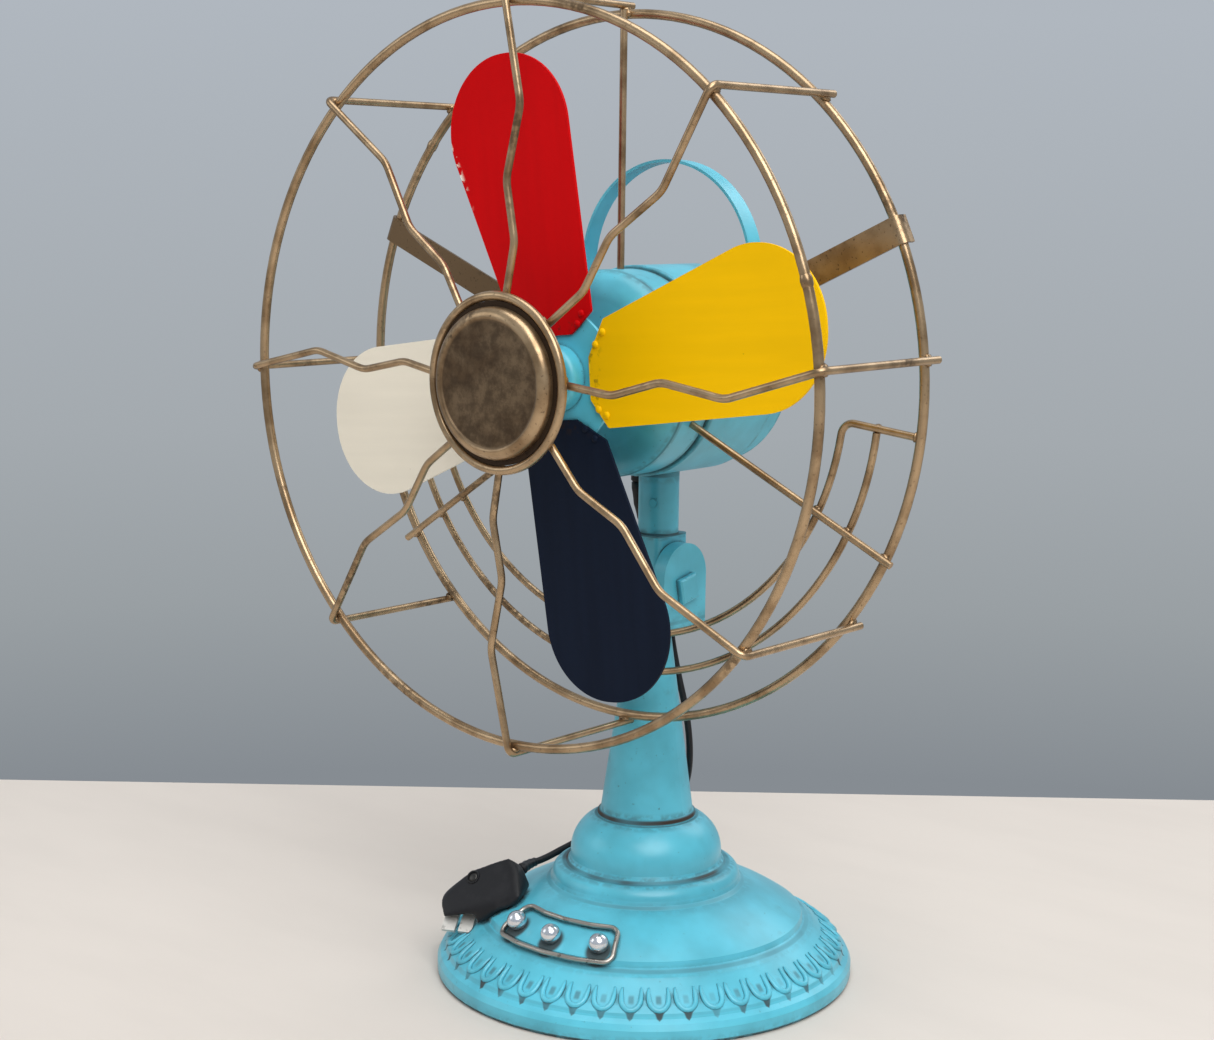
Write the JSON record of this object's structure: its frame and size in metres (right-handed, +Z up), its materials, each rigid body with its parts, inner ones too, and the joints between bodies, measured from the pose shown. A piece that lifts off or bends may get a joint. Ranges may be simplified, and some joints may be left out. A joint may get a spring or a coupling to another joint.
{
  "type": "desk fan",
  "caption": "Vintage style tin desk fan with a round wire cage, coloured sheet blades turned by hand, a tilting head and a stepped round base with an imitation plug.",
  "frame": {"origin": "centre of the underside of the round base, on the table", "axes": "+Z up, the fan faces -Y, +X is on the right of someone who looks at its front"},
  "size_m": [0.2477, 0.1598, 0.3418],
  "materials": {
    "turquoise_paint": "satin enamel with a brown antique wash in the grooves",
    "bronzed_steel": "antique bronze lacquer with dark patina",
    "chrome": "polished",
    "plain_steel": "zinc plated",
    "black_plastic": "satin",
    "black_cord": "satin",
    "red_paint": "gloss enamel, slightly worn edges",
    "yellow_paint": "gloss enamel",
    "navy_paint": "gloss enamel",
    "cream_paint": "gloss enamel"
  },
  "bodies": {
    "stand": {"base_shell": "turquoise_paint", "base_plate": "turquoise_paint", "base_dome": "turquoise_paint", "pillar": "turquoise_paint", "tie_rod": "plain_steel", "tie_nut": "plain_steel", "tie_washer": "plain_steel", "yoke": "turquoise_paint", "tilt_bolt": "turquoise_paint", "tilt_nut": "turquoise_paint", "tilt_washer": "turquoise_paint", "switch_loop": "chrome", "switch_stud_1": "chrome", "switch_stud_2": "chrome", "switch_stud_3": "chrome", "plug_body": "black_plastic", "plug_pin_1": "chrome", "plug_pin_2": "chrome", "power_cord": "black_cord"},
    "head": {"tilt_tongue": "turquoise_paint", "neck_tube": "turquoise_paint", "neck_screw": "turquoise_paint", "front_cover": "turquoise_paint", "motor_drum": "turquoise_paint", "rear_cover": "turquoise_paint", "axle": "plain_steel", "axle_nut": "plain_steel", "axle_cap_nut": "plain_steel", "carry_handle": "turquoise_paint", "handle_rivet_left": "turquoise_paint", "handle_rivet_right": "turquoise_paint", "cord_gland": "black_plastic", "rear_ring": "bronzed_steel", "strap_left": "bronzed_steel", "strap_right": "bronzed_steel", "rear_rod_top": "bronzed_steel", "rear_rod_left": "bronzed_steel", "rear_rod_right": "bronzed_steel", "rear_arc_outer": "bronzed_steel", "rear_arc_inner": "bronzed_steel", "front_ring": "bronzed_steel", "spoke_1": "bronzed_steel", "spoke_2": "bronzed_steel", "spoke_3": "bronzed_steel", "spoke_4": "bronzed_steel", "spoke_5": "bronzed_steel", "spoke_6": "bronzed_steel", "spoke_7": "bronzed_steel", "spoke_8": "bronzed_steel", "hub_ring": "bronzed_steel", "hub_plate": "bronzed_steel", "hub_cap": "bronzed_steel"},
    "rotor": {"rotor_hub": "turquoise_paint", "blade_red": "red_paint", "blade_yellow": "yellow_paint", "blade_navy": "navy_paint", "blade_cream": "cream_paint"}
  },
  "joints": [
    {"name": "head_tilt", "type": "hinge", "parent": "stand", "child": "head", "pos_m": [0, 0.004, 0.141], "axis": [-1, 0, 0], "range_deg": [0, 20], "deforming": ["power_cord"]},
    {"name": "rotor_spin", "type": "hinge", "parent": "head", "child": "rotor", "pos_m": [0, -0.048, 0.2176], "axis": [0, -1, 0], "continuous": true}
  ]
}
